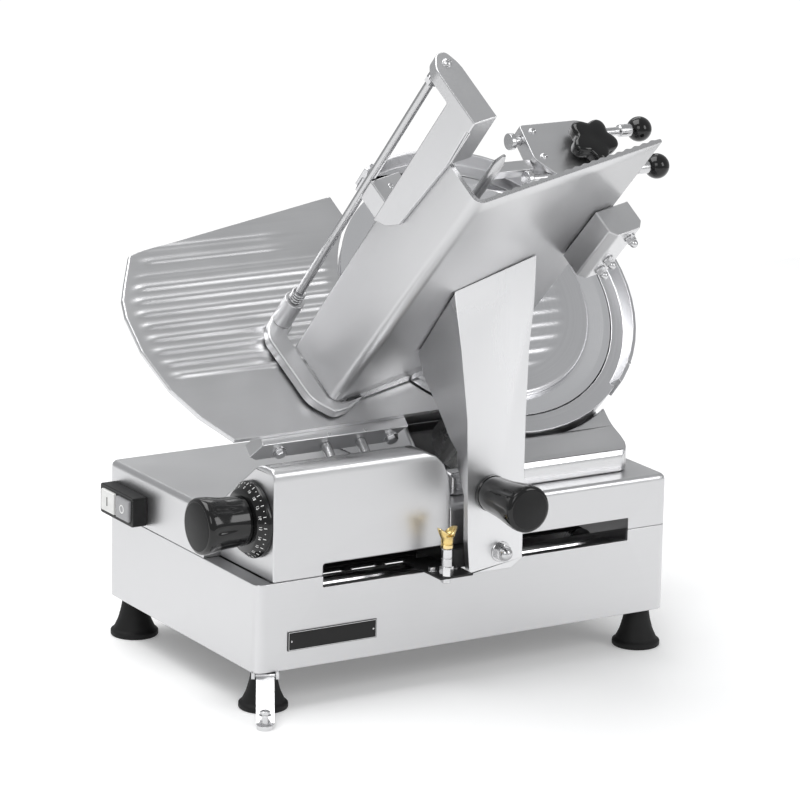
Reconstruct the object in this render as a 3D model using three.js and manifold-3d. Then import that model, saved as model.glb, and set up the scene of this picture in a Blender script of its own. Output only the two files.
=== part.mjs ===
// Semi-automatic deli meat slicer. Millimetres, Z up. The model is laid out from the front left
// corner of the lower casing (X along the long side, Y towards the back) and moved at the end so
// that the middle of its underside is the origin.
import * as THREE from 'three';
import { mergeVertices } from 'three/addons/utils/BufferGeometryUtils.js';
import Module from 'manifold-3d';

const wasm = await Module();
wasm.setup();
const rad = THREE.MathUtils.degToRad;

// ---- driving dimensions ----
const GAP = 0.3;
const CASE = { length: 527, depth: 340, seam: 99, top: 157, corner: 12, wall: 5, skin: 4 };
const SLOT = { x0: 82, x1: 474.5, z0: 86.4, z1: 112 };
const FOOT = { inset: 22, drop: 45, base: 27, neck: 14 };
const DRUM = { x0: 20, x1: 240, back: 118, front: 207, top: 223, shoulder: 52 };
const DIAL = { y: 43, z: 160, collar: 42, knob: 31, reach: 50 };
const AXLE = { x: 396.5, y: 203.3, z: 335.4, tilt: rad(43.55) };
const BLADE = { radius: 165, cover: 138, back: -9 };
const RING = { inner: 166.5, outer: 188, lip: 192, lipTop: 15, back: -24 };
const RIB = { pitch: 16.5, width: 7, height: 1.8 };
const GAUGE = { thick: 6, postDepth: -22.3, postX: [-253.1, -209] };
const TRAY = { turn: rad(12.2), wall: -268, wallTop: 7, floor: -73, slope: 0.0352, edge: -8, end: 405 };
const ROD = { u: -262, v: 42, radius: 4.8, top: 463 };
const GUIDE = { u: -243, v: -51, radius: 5.5, end: 455 };
const RAIL = { y: 60, z: 70, radius: 10 };
const DRIVE = { y: 88, z: 62, radius: 14, x: [60, 470] };
const SHARP = { h: 26, levers: [181.7, 127.7], ball: 15 };

// ---- geometry helpers ----
function closed(geometry) {
  const bare = new THREE.BufferGeometry();
  bare.setAttribute('position', geometry.getAttribute('position').clone());
  if (geometry.index) bare.setIndex(geometry.index.clone());
  const merged = geometry.userData.welded ? bare : mergeVertices(bare, 1e-3);
  merged.userData.welded = true;
  const faces = [];
  const index = merged.index.array;
  for (let i = 0; i < index.length; i += 3) {
    const [a, b, c] = [index[i], index[i + 1], index[i + 2]];
    if (a !== b && b !== c && c !== a) faces.push(a, b, c);
  }
  const p = [0, 1, 2].map(() => new THREE.Vector3());
  let volume = 0;
  for (let i = 0; i < faces.length; i += 3) {
    p.forEach((v, k) => v.fromBufferAttribute(merged.attributes.position, faces[i + k]));
    volume += p[0].dot(p[1].clone().cross(p[2]));
  }
  if (volume < 0) faces.reverse();
  merged.setIndex(faces);
  return merged;
}

function toSolid(geometry) {
  const g = closed(geometry);
  return new wasm.Manifold(new wasm.Mesh({
    numProp: 3,
    vertProperties: Float32Array.from(g.attributes.position.array),
    triVerts: Uint32Array.from(g.index.array),
  }));
}

function fromSolid(solid) {
  const mesh = solid.getMesh();
  const g = new THREE.BufferGeometry();
  g.setAttribute('position', new THREE.BufferAttribute(Float32Array.from(mesh.vertProperties), 3));
  g.setIndex(Array.from(mesh.triVerts));
  g.userData.welded = true;
  return g;
}

const fold = (op, first, rest) => fromSolid(rest.reduce((s, g) => s[op](toSolid(g)), toSolid(first)));
const join = (first, ...rest) => fold('add', first, rest);
const cut = (first, ...rest) => fold('subtract', first, rest);
const common = (first, ...rest) => fold('intersect', first, rest);

// Closed outline through the points, every corner rounded by the same or by its own radius.
function outline(points, radius = 0) {
  const shape = new THREE.Shape();
  points.forEach(([x, y, own], i) => {
    const before = points[(i + points.length - 1) % points.length];
    const after = points[(i + 1) % points.length];
    const r = own ?? radius;
    const here = new THREE.Vector2(x, y);
    const start = here.clone().lerp(new THREE.Vector2(...before), r / Math.hypot(x - before[0], y - before[1]));
    const stop = here.clone().lerp(new THREE.Vector2(...after), r / Math.hypot(x - after[0], y - after[1]));
    if (i === 0) shape.moveTo(start.x, start.y);
    else shape.lineTo(start.x, start.y);
    if (r > 0) shape.quadraticCurveTo(x, y, stop.x, stop.y);
  });
  shape.closePath();
  return shape;
}

// Moves every side of an anticlockwise outline inwards by the same distance.
function inset(points, distance) {
  const sides = points.map((p, i) => {
    const q = points[(i + 1) % points.length];
    const d = new THREE.Vector2(q[0] - p[0], q[1] - p[1]).normalize();
    return { d, at: new THREE.Vector2(p[0] - d.y * distance, p[1] + d.x * distance) };
  });
  return sides.map((side, i) => {
    const last = sides[(i + sides.length - 1) % sides.length];
    const t = side.at.clone().sub(last.at).cross(side.d) / last.d.cross(side.d);
    return [last.at.x + last.d.x * t, last.at.y + last.d.y * t];
  });
}

function extrude(shape, depth, bevel = 0) {
  return new THREE.ExtrudeGeometry(shape, {
    depth: depth - 2 * bevel, curveSegments: 5, bevelEnabled: bevel > 0,
    bevelThickness: bevel, bevelSize: bevel, bevelOffset: -bevel, bevelSegments: 3,
  }).translate(0, 0, bevel);
}

const prism = (shape, z0, z1, bevel) => extrude(shape, z1 - z0, bevel).translate(0, 0, z0);
// An outline drawn in Y and Z, stretched along X.
const acrossX = (shape, x0, x1, bevel) => extrude(shape, x1 - x0, bevel)
  .applyMatrix4(new THREE.Matrix4().set(0, 0, 1, x0, 1, 0, 0, 0, 0, 1, 0, 0, 0, 0, 0, 1));
// An outline drawn in X and Z, stretched along Y.
const acrossY = (shape, y0, y1, bevel) => extrude(shape, y1 - y0, bevel)
  .applyMatrix4(new THREE.Matrix4().set(1, 0, 0, 0, 0, 0, -1, y1, 0, 1, 0, 0, 0, 0, 0, 1));

function box(x0, x1, y0, y1, z0, z1) {
  return new THREE.BoxGeometry(x1 - x0, y1 - y0, z1 - z0)
    .translate((x0 + x1) / 2, (y0 + y1) / 2, (z0 + z1) / 2);
}

// Turned about Z from [radius, height] pairs.
function turned(profile, segments = 32) {
  const points = profile.map(([r, z]) => new THREE.Vector2(r, z));
  return new THREE.LatheGeometry(points, segments).rotateX(Math.PI / 2);
}

const rod = (radius, z0, z1, segments = 20) => turned([[0, z0], [radius, z0], [radius, z1], [0, z1]], segments);
const tube = (bore, radius, z0, z1, segments = 24) => turned(
  [[bore, z0], [radius, z0], [radius, z1], [bore, z1], [bore, z0]], segments);
const hexagon = (across, z0, z1) => rod(across / Math.sqrt(3), z0, z1, 6);
const aimLeft = (g) => g.rotateY(-Math.PI / 2);
const aimRight = (g) => g.rotateY(Math.PI / 2);
const aimFront = (g) => g.rotateX(Math.PI / 2);
const aimBack = (g) => g.rotateX(-Math.PI / 2);

// Wedge about Z between two angles in degrees.
function sector(from, to, radius, z0, z1) {
  const shape = new THREE.Shape();
  shape.moveTo(0, 0);
  const steps = 8;
  for (let i = 0; i <= steps; i += 1) {
    const a = rad(from + (to - from) * i / steps);
    shape.lineTo(radius * Math.cos(a), radius * Math.sin(a));
  }
  shape.closePath();
  return prism(shape, z0, z1);
}

// ---- groups ----
const machine = new THREE.Group();
const disc = new THREE.Group();
disc.position.set(AXLE.x, AXLE.y, AXLE.z);
disc.rotation.x = AXLE.tilt;
machine.add(disc);
const trough = new THREE.Group();
trough.rotation.z = TRAY.turn;
disc.add(trough);
machine.updateMatrixWorld(true);
const onDisc = disc.matrixWorld.clone();
const onTrough = trough.matrixWorld.clone();

const steel = 0xb9bcbf;
const dark = 0x2a2a2c;
const bright = 0xd5d8da;
const black = 0x111113;

function add(parent, name, geometry, color) {
  const mesh = new THREE.Mesh(closed(geometry), new THREE.MeshStandardMaterial({ color, name }));
  mesh.name = name;
  parent.add(mesh);
  return mesh;
}

// ---- casing ----
const plan = [[0, 0], [CASE.length, 0], [CASE.length, CASE.depth], [0, CASE.depth]];
const corners = FOOT.inset;
const footSpots = {
  foot_front_left: [corners, corners],
  foot_front_right: [CASE.length - corners, corners],
  foot_back_left: [corners, CASE.depth - corners],
  foot_back_right: [CASE.length - corners, CASE.depth - corners],
};
const slotCut = box(SLOT.x0, SLOT.x1, -1, 8, SLOT.z0, SLOT.z1);
const passage = box(230, 250, 5, 92, 90, 114);

const panInside = join(
  prism(outline(inset(plan, CASE.wall), CASE.corner - CASE.wall), -1, CASE.seam - 4.2),
  cut(prism(outline(inset(plan, CASE.wall), CASE.corner - CASE.wall), CASE.seam - 6, CASE.seam + 1),
    box(0, DRUM.x0 - GAP, 0, DRUM.back + 1, CASE.seam - 8, CASE.seam + 2)),
);
const bosses = Object.values(footSpots).map(([x, y]) => rod(16, 0, 40, 12).translate(x, y, 0));
const bossTies = Object.values(footSpots).map(([x, y]) => box(x - 18, x + 18, y - 8, y + 8, 0, 36));
const propAxis = Math.atan2(26, -47);
const propLugs = [-13, 13].map((d) => box(-2, 2, -4, 4, -7, 1).translate(d, 0, 0)
  .rotateZ(propAxis).translate(14, 4, 0));
const casePrism = prism(outline(plan, CASE.corner), 0, CASE.seam - 0.2);
add(machine, 'base_pan', join(
  cut(casePrism, panInside, slotCut),
  ...bosses,
  ...bossTies.map((g) => common(g, casePrism)),
  ...propLugs,
), steel);

const slats = [];
for (let i = 0; i < 9; i += 1) {
  for (let j = 0; j < 4; j += 1) {
    slats.push(box(0, 34, 0, 42, 0, 10).translate(62 + i * 45, 40 + j * 70, 0));
  }
}
add(machine, 'bottom_plate', join(
  cut(
    prism(outline(inset(plan, CASE.wall + GAP), 7), 1, 3),
    ...footCutters(),
    ...slats,
  ),
  box(DRIVE.x[1] - 6, DRIVE.x[1] + 6, DRIVE.y + 13, DRIVE.y + 18, 2, DRIVE.z + 8),
  aimBack(rod(3.7, 0, 16)).translate(DRIVE.x[1], DRIVE.y - 1, DRIVE.z),
), dark);

function footCutters() {
  return Object.values(footSpots).map(([x, y]) => box(x - 19, x + 19, y - 17, y + 17, 0, 5));
}

const coverNotch = box(-1, DRUM.x1 + GAP, -1, DRUM.back + GAP, CASE.seam - 1, CASE.top + 1);
const coverOuter = cut(
  prism(outline(plan, CASE.corner), CASE.seam - 20, CASE.top, 7),
  box(-1, CASE.length + 1, -1, CASE.depth + 1, CASE.seam - 30, CASE.seam), coverNotch,
);
const coverInner = cut(
  prism(outline(inset(plan, CASE.skin), CASE.corner - CASE.skin), CASE.seam - 1, CASE.top - CASE.skin),
  box(-1, DRUM.x1 + CASE.skin, -1, DRUM.back + CASE.skin, CASE.seam - 2, CASE.top + 1),
);
add(machine, 'top_cover', cut(
  coverOuter, coverInner, slotCut, passage, box(275, 470, 105, 285, CASE.top - 6, CASE.top + 1),
), steel);

for (const [name, [x, y]] of Object.entries(footSpots)) {
  add(machine, name, turned([
    [0, -FOOT.drop], [FOOT.base, -FOOT.drop], [FOOT.base, -FOOT.drop + 7], [FOOT.neck + 4, -24],
    [FOOT.neck, -8], [FOOT.neck, -GAP], [0, -GAP],
  ], 24).translate(x, y, 0), black);
}

add(machine, 'name_plate', box(38.5, 149, -1.8, -GAP, 21, 42.3), black);

// ---- thickness control ----
const drumSide = [[0, CASE.seam], [DRUM.back, CASE.seam], [DRUM.back, 162], [33.6, DRUM.top], [0, DRUM.top]];
const drumFront = [
  [DRUM.x0, CASE.seam], [DRUM.x1, CASE.seam], [DRUM.x1, DRUM.top, DRUM.shoulder], [DRUM.x0, DRUM.top, 6]];
const drumSideRound = drumSide.map(([y, z], i) => [y, z, [0, 0, 4, 14, 14][i]]);
const drumInside = common(
  acrossX(outline(inset(drumSide, CASE.skin).map(([y, z], i) => [y, i < 2 ? z - 12 : z, [0, 0, 2, 10, 10][i]])),
    DRUM.x0 + CASE.skin, DRUM.x1 - CASE.skin),
  acrossY(outline([
    [DRUM.x0, 80], [DRUM.x1 - 2, 80], [DRUM.x1 - 5, DRUM.top - 5, DRUM.shoulder - 3], [DRUM.x0, DRUM.top - 5]]),
  0, DRUM.back),
);
const postSlots = GAUGE.postX.map((x) => box(x - 7.5, x + 7.5, -215, -160, -44.8, -14.8).applyMatrix4(onDisc));
add(machine, 'drum_housing', cut(
  common(acrossX(outline(drumSideRound), DRUM.x0, DRUM.x1), acrossY(outline(drumFront), 0, DRUM.back)),
  drumInside, slotCut, passage, ...postSlots,
  aimLeft(rod(6.3, -8, 1)).translate(DRUM.x0, DIAL.y, DIAL.z),
), steel);

const atDial = (g) => aimLeft(g).translate(DRUM.x0, DIAL.y, DIAL.z);
add(machine, 'dial_collar', atDial(turned([
  [6.3, GAP], [DIAL.collar, GAP], [DIAL.collar, 4], [36, 15], [6.3, 15], [6.3, GAP]], 40)), black);
add(machine, 'dial_knob', atDial(turned([
  [6.3, 15.3], [27, 15.3], [28, 40], [DIAL.knob, 60], [DIAL.knob, 67], [28.5, 70], [0, 70],
  [0, 62], [6.3, 62], [6.3, 15.3]], 32)), black);
add(machine, 'dial_shaft', atDial(join(rod(6, -32, 61.5), rod(34, -30, -20, 40))), bright);

add(disc, 'gauge_rail', join(
  box(-372.2, -185, -213, -203, 10, 18),
  box(-372.2, -185, -213, -203, -70, -62),
  rod(5, -65, 12).translate(-321, -208, 0),
  rod(5, -65, 12).translate(-192, -208, 0),
), bright);
add(disc, 'gauge_slide_block', cut(
  join(box(-334, -180, -216, -200, -34, -12), aimLeft(rod(3, 0, 12)).translate(-334, -210, -18)),
  rod(5.3, -80, 20).translate(-321, -208, 0),
  rod(5.3, -80, 20).translate(-192, -208, 0),
), dark);
GAUGE.postX.forEach((x, i) => {
  add(disc, `gauge_post_${['left', 'right'][i]}`,
    aimFront(rod(6, 156 + GAP, 200 - GAP)).translate(x, 0, GAUGE.postDepth), bright);
});
add(disc, 'gauge_bracket', acrossY(outline([
  [-337, -GAUGE.thick - GAP], [-345, -28], [-335, -36], [-172, -36], [-153, -GAUGE.thick - GAP]]), -156, -140), steel);

const plateEdge = [[-397, 102], [-406, 99], [-435, 44], [-439, 21], [-437, -24], [-422, -76], [-400, -114], [-371, -148], [-88, -143]];
const plateArc = [];
for (let i = 0; i <= 14; i += 1) {
  const a = rad(238 - (238 - 137) * i / 14);
  plateArc.push([168 * Math.cos(a), 168 * Math.sin(a)]);
}
const platePoints = [...plateEdge, ...plateArc, [-130.5, 149.4]];
const plateRibs = [];
for (let i = 0; i < 9; i += 1) {
  plateRibs.push(box(-430, -100, -RIB.width / 2, RIB.width / 2, -2, RIB.height).translate(0, 72.5 - i * RIB.pitch, 0));
}
const ribField = cut(prism(outline(inset(plateEdge.concat([[-88, 130]]), 9)), -3, 5), rod(178, -5, 8, 56));
add(disc, 'gauge_plate', join(
  prism(outline(platePoints), -GAUGE.thick, 0),
  ...plateRibs.map((g) => common(g, ribField)),
), steel);

// ---- blade and its housing ----
add(disc, 'ring_guard', join(
  cut(
    turned([
      [20, -18], [RING.inner, -18], [RING.inner, 0], [RING.outer, 0], [RING.outer, RING.back],
      [20, RING.back], [20, -18]], 60),
    cut(sector(115, 245, 260, -40, 20), rod(160, -50, 30, 60)),
  ),
  cut(
    turned([
      [RING.outer - 7, -2], [RING.outer - 3, 10], [RING.outer - 1, RING.lipTop], [RING.lip, RING.lipTop - 3],
      [RING.lip, -17], [RING.outer - 7, -17], [RING.outer - 7, -2]], 60),
    sector(114.9, 310, 260, -40, 20),
  ),
), steel);
add(disc, 'blade', turned([
  [18, BLADE.back], [140, BLADE.back], [152, -5], [BLADE.radius, -0.6], [BLADE.radius, 0], [157, 0],
  [141, -5.5], [18, -5.5], [18, BLADE.back]], 60), bright);
const coverRibs = [];
for (let i = -6; i <= 6; i += 1) {
  const half = Math.sqrt(110 * 110 - (i * RIB.pitch) ** 2);
  coverRibs.push(box(-half, half, -3, 3, 0, 2.2).translate(0, i * RIB.pitch, 0));
}
add(disc, 'blade_cover', join(
  turned([[0, -5.2], [BLADE.cover, -5.2], [BLADE.cover, -1], [BLADE.cover - 3, 1], [0, 1]], 48),
  rod(4, -76, -4, 16), hexagon(13, -76, -69),
  ...coverRibs,
), steel);
add(disc, 'blade_hub', join(
  tube(4.5, 12, -67, -6),
  tube(4.5, 17.7, -11, -6),
  tube(4.5, 32, -15, BLADE.back - GAP),
), bright);
add(disc, 'blade_bearing', tube(12.3, 30, -46, RING.back - GAP), steel);
add(disc, 'blade_pulley', turned([
  [12.3, -64], [47, -64], [47, -62], [45, -62], [45, -50], [47, -50], [47, -48], [12.3, -48], [12.3, -64]], 32), steel);
const motorSpot = [0, -110, 0];
add(disc, 'motor_pulley', turned([
  [0, -66.5], [22, -66.5], [22, -62], [20, -62], [20, -50], [22, -50], [22, -48], [0, -48]], 28)
  .translate(...motorSpot), steel);
add(disc, 'blade_motor', join(
  rod(38, -150, -67 - GAP, 36).translate(...motorSpot),
  ...[-33, 33].map((x) => rod(4.5, -68, RING.back - GAP, 12).translate(x, -122, 0)),
), dark);

// A belt loop round two pulleys of radius a at the origin and b at (0, -span).
function beltLoop(a, b, span, thick, z0, z1) {
  const loop = (grow) => {
    const tilt = Math.asin((a - b) / span);
    const points = [];
    for (let i = 0; i <= 16; i += 1) {
      const t = -tilt + (Math.PI + 2 * tilt) * i / 16;
      points.push(new THREE.Vector2((a + grow) * Math.cos(t), (a + grow) * Math.sin(t)));
    }
    for (let i = 0; i <= 10; i += 1) {
      const t = Math.PI + tilt + (Math.PI - 2 * tilt) * i / 10;
      points.push(new THREE.Vector2((b + grow) * Math.cos(t), (b + grow) * Math.sin(t) - span));
    }
    return new THREE.Shape(points);
  };
  const shape = loop(thick);
  shape.holes.push(new THREE.Path(loop(0).getPoints()));
  return prism(shape, z0, z1);
}
add(disc, 'blade_belt', beltLoop(45.3, 20.3, 110, 1.6, -61.5, -50.5), black);

const pedestalSide = [
  [30, CASE.top + GAP], [320, CASE.top + GAP], [320, 321], [263.2, 381.3], [100, 226], [75, 202.4], [30, 182]];
const pedestalInner = inset(pedestalSide, 6).map(([y, z], i) => [y, i < 2 ? z - 12 : z, i < 2 ? 0 : 8]);
add(machine, 'blade_pedestal', cut(
  common(
    acrossX(outline(pedestalSide.map(([y, z], i) => [y, z, i < 2 ? 0 : 10])), 252, 498),
    prism(outline([[252, 29], [498, 29], [498, 321], [252, 321]], 24), 150, 390),
  ),
  common(
    acrossX(outline(pedestalInner), 258, 492),
    prism(outline([[258, 35], [492, 35], [492, 315], [258, 315]], 18), 140, 390),
  ),
  rod(RING.lip + 0.8, RING.back - GAP, 60, 60).applyMatrix4(onDisc),
  box(-160, -60, -220, 120, -30, 60).applyMatrix4(onDisc),
), steel);

// ---- sharpener ----
add(disc, 'sharpener_bar', box(73, 125.7, 139, 153, RING.lipTop + GAP, 29), steel);
add(disc, 'sharpener_block', cut(
  prism(outline([[126, 148], [150, 119], [214, 119], [214, 192], [205, 196], [126, 196]], 4), RING.lipTop + GAP, 37),
  ...SHARP.levers.map((s) => aimRight(rod(5.3, 90, 240, 16)).translate(0, s, SHARP.h)),
), steel);
const lobes = [];
for (let i = 0; i < 5; i += 1) {
  const a = rad(54 + 72 * i);
  lobes.push(rod(9, 42, 60, 18).translate(22 * Math.cos(a), 22 * Math.sin(a), 0));
}
add(disc, 'star_knob', join(rod(21, 42, 61, 24), ...lobes, rod(5, 37 + GAP, 50, 16)).translate(202, 154, 0), black);
['upper', 'lower'].forEach((which, i) => {
  add(disc, `sharpener_lever_${which}`, join(
    aimRight(rod(5, 116, 284, 16)),
    aimRight(rod(7.5, 268, 280, 16)),
    aimRight(tube(4, 10, 110, 117, 20)),
    new THREE.SphereGeometry(SHARP.ball, 16, 10).translate(292.6, 0, 0),
  ).translate(0, SHARP.levers[i], SHARP.h), black);
});

// ---- carriage ----
add(machine, 'carriage_rail', aimRight(rod(RAIL.radius, CASE.wall + GAP, CASE.length - CASE.wall - GAP, 28))
  .translate(0, RAIL.y, RAIL.z), bright);
add(machine, 'carriage_block', cut(
  join(
    box(246, 322, 42, 78, 52, 86),
    box(236, 316, -14.7, 78, 90, 111),
    box(252, 314, 42, 78, 80, 92),
    box(276, 296, 70, 103, 79, 86),
  ),
  aimRight(rod(RAIL.radius + GAP, 200, 340, 28)).translate(0, RAIL.y, RAIL.z),
  aimBack(rod(5.3, -20, 8, 16)).translate(290, 0, 105),
), dark);
const floorCutter = box(-420, 220, TRAY.floor - 0.4, 360, -100, 900);
slant(floorCutter);
function slant(geometry) {
  const p = geometry.attributes.position;
  for (let i = 0; i < p.count; i += 1) {
    if (p.getY(i) < -40) p.setY(i, p.getY(i) - TRAY.slope * p.getZ(i));
  }
  return geometry;
}
const armFace = [
  [251, 84], [304, 84], [319, 94], [319, 255], [321, 330], [326, 380], [328, 470], [219, 440], [223.5, 401],
  [234, 337], [243.7, 258.7], [247, 169], [248, 118]];
const armEdge = [
  [248, 150], [256, 150], [252.5, 258], [243, 337], [232, 420], [219, 440], [223.5, 401], [234, 337],
  [243.7, 258.7], [247, 169]];
const armFlange = [
  [-24, 150], [-17, 166], [-3, 200], [-2, 218], [12, 228], [28, 247], [42, 264], [61, 288.5], [68, 312], [68, 460],
  [-24, 460]];
add(machine, 'carriage_arm', cut(
  join(
    acrossY(outline(armFace), -25, -15),
    common(acrossX(outline(armFlange), 210, 262), acrossY(outline(armEdge), -25, 80)),
  ),
  floorCutter.clone().applyMatrix4(onTrough),
  aimBack(rod(6.3, -30, -10, 20)).translate(276, 0, 173),
  aimBack(rod(5.3, -30, -10, 16)).translate(290, 0, 105),
), steel);
add(machine, 'arm_nut', aimFront(join(
  rod(5, -7.5, 30, 16), hexagon(17, 25 + GAP, 36), new THREE.SphereGeometry(8, 16, 8).translate(0, 0, 35),
)).translate(290, 0, 105), bright);
add(machine, 'lock_knob', aimFront(turned([
  [0, 13], [6, 13], [6, 25 + GAP], [20, 25 + GAP], [21.5, 32], [23, 60], [26, 90], [26, 99], [23, 103], [0, 103]], 32))
  .translate(276, 0, 173), black);
add(machine, 'plunger_plate', box(206, 247.5, -38, 41, 87, 89.5), dark);
add(machine, 'plunger_sleeve', cut(
  join(hexagon(13, 89.5 + GAP, 100), rod(6, 99, 120, 20)),
  rod(3.3, 94, 130, 16),
).translate(217.5, -31, 0), bright);
add(machine, 'plunger', join(
  rod(3, 96, 125, 16), rod(6.8, 120 + GAP, 138, 20), turned([[0, 133], [8, 133], [11.5, 144], [0, 144]], 20),
).translate(217.5, -31, 0), 0xc9a14a);

const trayProfile = [
  [TRAY.edge, TRAY.floor], [TRAY.edge, TRAY.floor + 5], [TRAY.wall + 5, TRAY.floor + 5, 5],
  [TRAY.wall + 5, TRAY.wallTop], [TRAY.wall, TRAY.wallTop], [TRAY.wall, TRAY.floor, 10]];
const guideTilt = -Math.atan(TRAY.slope);
const alongFloor = (g) => g.rotateX(-guideTilt).translate(GUIDE.u, GUIDE.v, 0);
add(trough, 'tray', cut(
  join(
    slant(prism(outline(trayProfile), 17, TRAY.end)),
    slant(box(TRAY.wall + 18, TRAY.edge, TRAY.floor, TRAY.floor + 5, 3.5, 20)),
    box(TRAY.wall + 2, GUIDE.u + 10, TRAY.floor + 2, GUIDE.v + 9, 20, 32),
  ),
  alongFloor(rod(GUIDE.radius + GAP, 0, 60, 20)),
), steel);
add(trough, 'guide_rod', alongFloor(turned([
  [0, 20.5], [GUIDE.radius, 20.5], [GUIDE.radius, GUIDE.end - 14], [2, GUIDE.end], [0, GUIDE.end]], 20)), bright);
add(trough, 'pusher', alongFloor(cut(
  join(rod(11, 33, 66, 24), box(0, 205, -10, 42, 40, 48)),
  rod(GUIDE.radius + GAP, 20, 90, 20),
)), steel);
add(trough, 'tray_bracket', slant(prism(outline([
  [-36, TRAY.floor - GAP], [-36, TRAY.floor - 28], [-28, TRAY.floor - 36], [3, TRAY.floor - 36],
  [11, TRAY.floor - 28], [11, TRAY.floor - GAP]]), 200, 285)), steel);
add(trough, 'end_guard', prism(outline([
  [-229, -74.6], [-258.5, -74.6], [-268.5, -64], [-268.5, 22], [-256, 30], [-248, 42, 6], [-262, 57, 8], [-283, 42, 6],
  [-292, 27, 6], [-290, -59, 12], [-271, -84, 6], [-252, -84], [-229, -76.5]]), 3.2, 16), steel);
add(trough, 'rod_socket', tube(ROD.radius + GAP, 11.5, 16 + GAP, 55, 28).translate(ROD.u, ROD.v, 0), steel);
add(trough, 'slide_rod', rod(ROD.radius, 16.6, ROD.top - GAP, 24).translate(ROD.u, ROD.v, 0), bright);

class Helix extends THREE.Curve {
  getPoint(t, target = new THREE.Vector3()) {
    const a = t * Math.PI * 2 * 3.5;
    return target.set(6.9 * Math.cos(a), 6.9 * Math.sin(a), 1.4 + 14 * t);
  }
}
const wire = new THREE.Shape(new THREE.EllipseCurve(0, 0, 1.1, 1.1).getPoints(6).slice(0, -1));
add(trough, 'buffer_spring', new THREE.ExtrudeGeometry(wire, {
  steps: 44, bevelEnabled: false, extrudePath: new Helix(),
}).translate(ROD.u, ROD.v, 55.2), bright);

const armOuter = TRAY.wall - GAP;
add(trough, 'rod_arm', join(
  acrossX(outline([[6, 258], [6, ROD.top], [-32, ROD.top], [-34, 405], [-24, 289], [-12, 270]]), armOuter - 5, armOuter),
  box(armOuter - 2, -242, -35, -30, 409, ROD.top),
  cut(
    prism(outline([[armOuter - 5, -35], [-242, -35], [-242, 36, 8], [-249, 55, 6], [-262, 55, 6], [armOuter - 5, 38, 8]]),
      ROD.top, ROD.top + 17),
    rod(2.5, ROD.top + 6, ROD.top + 20).translate(-256, 41, 0),
  ),
), steel);
add(trough, 'rod_block', box(-267.7, -228, TRAY.wallTop + GAP, ROD.v - ROD.radius - GAP, 255, 285), steel);

// ---- carriage drive ----
const atDrive = (g, x) => aimBack(g).translate(x, DRIVE.y, DRIVE.z);
add(machine, 'carriage_pulley', atDrive(turned([
  [0, 0], [16, 0], [16, 1], [DRIVE.radius, 1], [DRIVE.radius, 11], [16, 11], [16, 12], [0, 12]], 24), DRIVE.x[0]), bright);
add(machine, 'idler_pulley', atDrive(turned([
  [4, 0], [16, 0], [16, 1], [DRIVE.radius, 1], [DRIVE.radius, 11], [16, 11], [16, 12], [4, 12], [4, 0]], 24),
DRIVE.x[1]), bright);
add(machine, 'carriage_belt', beltLoop(DRIVE.radius + GAP, DRIVE.radius + GAP, DRIVE.x[1] - DRIVE.x[0], 1.6, -10.5, -1.5)
  .rotateZ(Math.PI / 2).rotateX(Math.PI / 2).translate(DRIVE.x[0], DRIVE.y, DRIVE.z), black);
add(machine, 'carriage_motor', join(
  aimBack(rod(30, 16, 96, 32)).translate(DRIVE.x[0], DRIVE.y, DRIVE.z),
  box(DRIVE.x[0] - 20, DRIVE.x[0] + 20, DRIVE.y + 26, DRIVE.y + 86, 3 + GAP, DRIVE.z),
), dark);

// ---- switch, inlet, prop leg ----
const switchBox = acrossX(outline([[247, 102], [325, 102], [325, 136], [247, 136]], 4), -18, -GAP);
add(machine, 'switch_box', cut(
  switchBox, box(-19, -8, 253, 284, 106.5, 131.5), box(-19, -8, 288, 319, 106.5, 131.5),
), black);
add(machine, 'start_button', box(-21, -12.5, 288.3, 318.7, 106.8, 131.2), bright);
add(machine, 'stop_button', box(-21, -12.5, 253.3, 283.7, 106.8, 131.2), dark);
add(machine, 'power_inlet', cut(
  box(60, 108, CASE.depth + GAP, CASE.depth + 6, 30, 62), box(70, 98, CASE.depth + 2, CASE.depth + 7, 36, 56),
), black);
const strap = new THREE.Vector3(-26, -47, -36);
const strapAngle = Math.atan2(-strap.z, Math.hypot(strap.x, strap.y));
add(machine, 'prop_leg', join(
  join(box(-10, 10, 0, strap.length(), -1.5, 1.5), aimRight(rod(3, -10.6, 10.6, 12)))
    .rotateX(-strapAngle).rotateZ(propAxis).translate(14, 4, -4),
  rod(3.5, -FOOT.drop + 3, -28, 12).translate(-13, -44, 0),
  rod(9, -FOOT.drop, -FOOT.drop + 5, 24).translate(-13, -44, 0),
), bright);

// ---- origin at the middle of the underside ----
const bounds = new THREE.Box3().setFromObject(machine, true);
const middle = bounds.getCenter(new THREE.Vector3());
machine.position.set(-middle.x, -middle.y, -bounds.min.z);
const group = new THREE.Group();
group.add(machine);
group.updateMatrixWorld(true);

export default group;
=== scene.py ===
import math

import bmesh
import bpy
from mathutils import Matrix, Vector


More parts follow.
